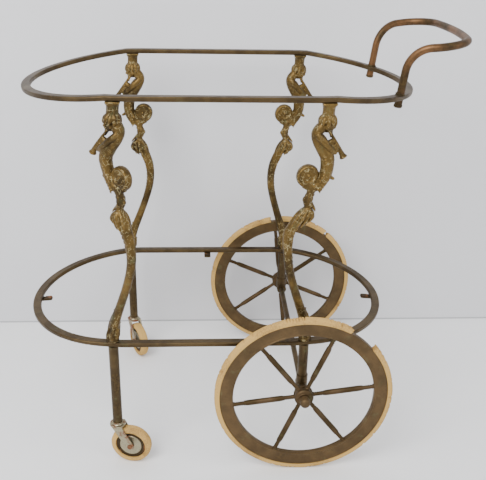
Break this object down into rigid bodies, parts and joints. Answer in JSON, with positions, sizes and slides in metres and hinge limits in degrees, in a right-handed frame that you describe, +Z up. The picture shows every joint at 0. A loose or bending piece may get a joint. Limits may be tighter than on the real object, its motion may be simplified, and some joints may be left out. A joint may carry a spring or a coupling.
{
  "type": "serving trolley",
  "caption": "Two-tier serving trolley frame with oval rails, figural legs with scrolls, large spoked wheels, swivel casters and a bent push handle; shelves not fitted.",
  "frame": {"origin": "on the floor, under the middle of the bounding box", "axes": "+X towards the push handle, +Y to the right of a person pushing, +Z up"},
  "size_m": [0.7961, 0.5156, 0.7867],
  "materials": {
    "rail_brass": "aged, brown patina",
    "cast_brass": "aged casting, dark recesses",
    "tube_brass": "aged, brown patina",
    "handle_brass": "aged, reddish brown",
    "wheel_brass": "dark brown patina",
    "bush_bronze": "dull",
    "aged_tyre": "dry, cracked, tan",
    "pad_rubber": "matt grey",
    "axle_steel": "dull brown",
    "nickel_steel": "worn nickel plate",
    "core_dark": "dark brown",
    "fixing_steel": "rusty"
  },
  "bodies": {
    "frame": {"top_rail_front_bow": "rail_brass", "top_rail_rear_bow": "rail_brass", "top_rail_left_bar": "rail_brass", "top_rail_right_bar": "rail_brass", "lower_rail_front_bow": "rail_brass", "lower_rail_rear_bow": "rail_brass", "lower_rail_left_bar": "rail_brass", "lower_rail_right_bar": "rail_brass", "figure_front_left": "cast_brass", "stem_front_left": "cast_brass", "figure_front_right": "cast_brass", "stem_front_right": "cast_brass", "figure_rear_left": "cast_brass", "stem_rear_left": "cast_brass", "figure_rear_right": "cast_brass", "stem_rear_right": "cast_brass", "capital_screws": "fixing_steel", "leg_studs": "fixing_steel", "stem_screws": "rail_brass", "front_left_tube": "tube_brass", "rear_left_tube": "tube_brass", "axle_tee_left": "tube_brass", "front_right_tube": "tube_brass", "rear_right_tube": "tube_brass", "axle_tee_right": "tube_brass", "axle": "axle_steel", "axle_cap_nuts": "tube_brass", "axle_thrust_collars": "tube_brass", "left_caster_socket": "nickel_steel", "right_caster_socket": "nickel_steel", "handle": "handle_brass", "handle_collars": "handle_brass", "handle_end_plugs": "handle_brass", "shelf_tabs": "rail_brass", "shelf_tab_pads": "pad_rubber", "shelf_tab_screws": "fixing_steel"},
    "left_wheel": {"left_wheel_rim": "wheel_brass", "left_wheel_tyre": "aged_tyre", "left_wheel_hub": "wheel_brass", "left_wheel_bush": "bush_bronze", "left_wheel_spokes": "wheel_brass"},
    "right_wheel": {"right_wheel_rim": "wheel_brass", "right_wheel_tyre": "aged_tyre", "right_wheel_hub": "wheel_brass", "right_wheel_bush": "bush_bronze", "right_wheel_spokes": "wheel_brass"},
    "left_swivel": {"left_caster_pin": "nickel_steel", "left_caster_fork": "nickel_steel", "left_caster_rivet": "fixing_steel"},
    "right_swivel": {"right_caster_pin": "nickel_steel", "right_caster_fork": "nickel_steel", "right_caster_rivet": "fixing_steel"},
    "left_caster_wheel": {"left_caster_core": "core_dark", "left_caster_discs": "nickel_steel", "left_caster_tyre": "aged_tyre"},
    "right_caster_wheel": {"right_caster_core": "core_dark", "right_caster_discs": "nickel_steel", "right_caster_tyre": "aged_tyre"}
  },
  "joints": [
    {"name": "left_wheel_spin", "type": "hinge", "parent": "frame", "child": "left_wheel", "pos_m": [0.1227, -0.22798, 0.1633], "axis": [0, 1, 0], "continuous": true},
    {"name": "right_wheel_spin", "type": "hinge", "parent": "frame", "child": "right_wheel", "pos_m": [0.1227, 0.22798, 0.1633], "axis": [0, 1, 0], "continuous": true},
    {"name": "left_caster_swivel", "type": "hinge", "parent": "frame", "child": "left_swivel", "pos_m": [-0.2213, -0.19413, 0.0825], "axis": [0, 0, 1], "continuous": true},
    {"name": "left_caster_spin", "type": "hinge", "parent": "left_swivel", "child": "left_caster_wheel", "pos_m": [-0.19685, -0.19933, 0.0384], "axis": [0.2079, 0.9781, 0], "continuous": true},
    {"name": "right_caster_swivel", "type": "hinge", "parent": "frame", "child": "right_swivel", "pos_m": [-0.2213, 0.19413, 0.0825], "axis": [0, 0, 1], "continuous": true},
    {"name": "right_caster_spin", "type": "hinge", "parent": "right_swivel", "child": "right_caster_wheel", "pos_m": [-0.20957, 0.17206, 0.0384], "axis": [0.8829, 0.4695, 0], "continuous": true}
  ]
}
